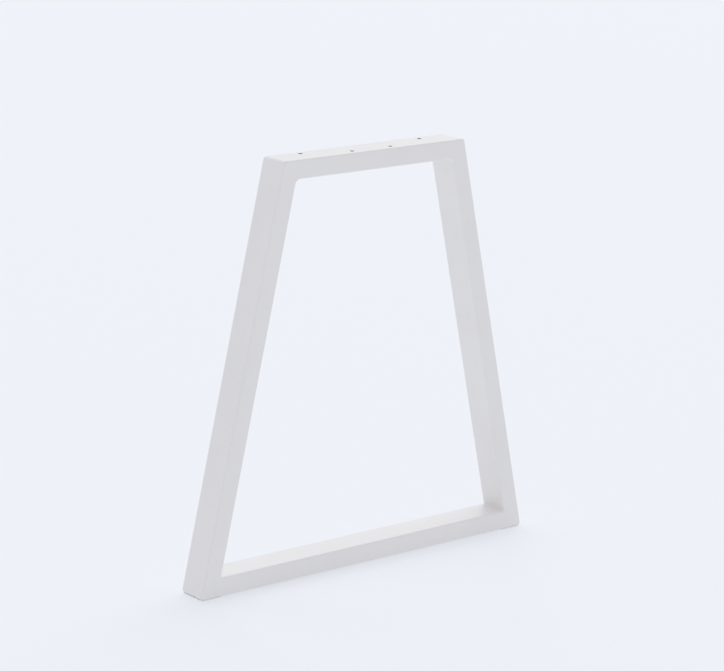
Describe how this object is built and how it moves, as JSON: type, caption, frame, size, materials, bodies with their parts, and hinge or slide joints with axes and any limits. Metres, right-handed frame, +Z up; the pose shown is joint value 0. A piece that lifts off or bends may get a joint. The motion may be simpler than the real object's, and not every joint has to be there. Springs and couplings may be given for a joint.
{
  "type": "trapezoid bench leg",
  "caption": "Trapezoid bench leg: a welded frame of rectangular steel tube in pale powder coat, with screw holes in its narrow top rail and glides under its wide bottom rail.",
  "frame": {"origin": "on the floor, at the middle of the leg's base, under the glides", "axes": "+X along the rails, +Y from the front face to the back face, +Z up"},
  "size_m": [0.4308, 0.035, 0.441],
  "materials": {
    "frame_coat": "satin powder coat, very light grey",
    "glide_plastic": "matt, light grey"
  },
  "bodies": {
    "root": {"top_rail": "frame_coat", "bottom_rail": "frame_coat", "left_leg": "frame_coat", "right_leg": "frame_coat", "top_left_weld": "frame_coat", "top_right_weld": "frame_coat", "bottom_left_weld": "frame_coat", "bottom_right_weld": "frame_coat", "left_glide": "glide_plastic", "right_glide": "glide_plastic"}
  },
  "joints": []
}
